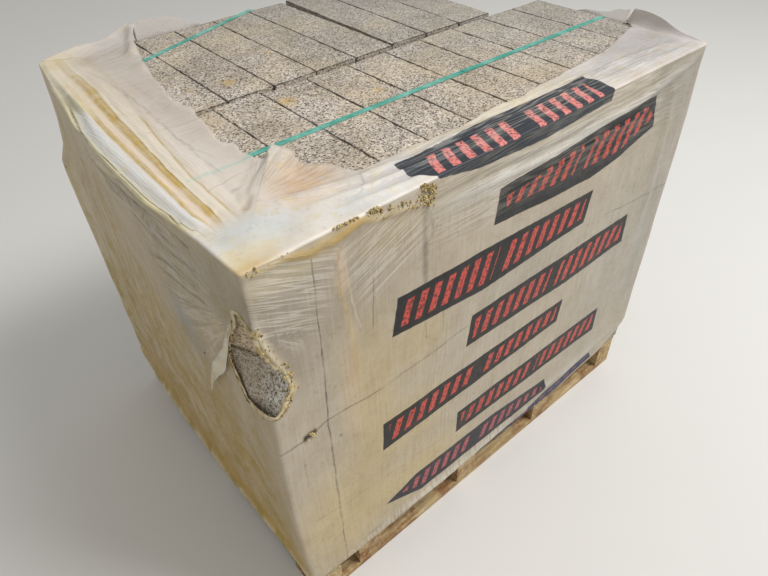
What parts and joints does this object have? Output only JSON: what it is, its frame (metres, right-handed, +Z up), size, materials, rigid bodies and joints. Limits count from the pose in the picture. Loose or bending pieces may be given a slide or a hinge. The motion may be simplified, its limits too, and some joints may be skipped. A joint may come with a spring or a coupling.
{
  "type": "pallet of concrete blocks",
  "caption": "Opened pack of solid concrete building blocks in two rows on a timber pallet, strapped and under a torn translucent film hood.",
  "frame": {"origin": "on the ground, below the middle of the part's box", "axes": "+X along the printed front, +Y from the front to the back, +Z up"},
  "size_m": [1.1104, 0.9266, 0.9732],
  "materials": {
    "concrete": "pressed dense concrete, open fine aggregate face, rough",
    "broken_concrete": "fractured concrete with exposed aggregate",
    "pallet_timber": "rough-sawn pale softwood with brown stains",
    "strap": "extruded turquoise polyester strapping, satin",
    "film": "milky translucent polyethylene film, wrinkled, with plain printed bands and yellow staining"
  },
  "bodies": {
    "root": {"bearer_1": "pallet_timber", "bearer_2": "pallet_timber", "bearer_3": "pallet_timber", "bearer_4": "pallet_timber", "bearer_5": "pallet_timber", "bottom_board_1": "pallet_timber", "bottom_board_2": "pallet_timber", "bottom_board_3": "pallet_timber", "course_1_back": "concrete", "course_1_front": "concrete", "course_2_back": "concrete", "course_2_front": "concrete", "course_3_back": "concrete", "course_3_corner_block": "broken_concrete", "course_3_front": "concrete", "course_4_back": "concrete", "course_4_corner_block": "broken_concrete", "course_4_front": "concrete", "deck_board_1": "pallet_timber", "deck_board_2": "pallet_timber", "deck_board_3": "pallet_timber", "deck_board_4": "pallet_timber", "deck_board_5": "pallet_timber", "deck_board_6": "pallet_timber", "deck_board_7": "pallet_timber", "film_hood": "film", "strap_loose": "strap", "strap_tight": "strap"}
  },
  "joints": []
}
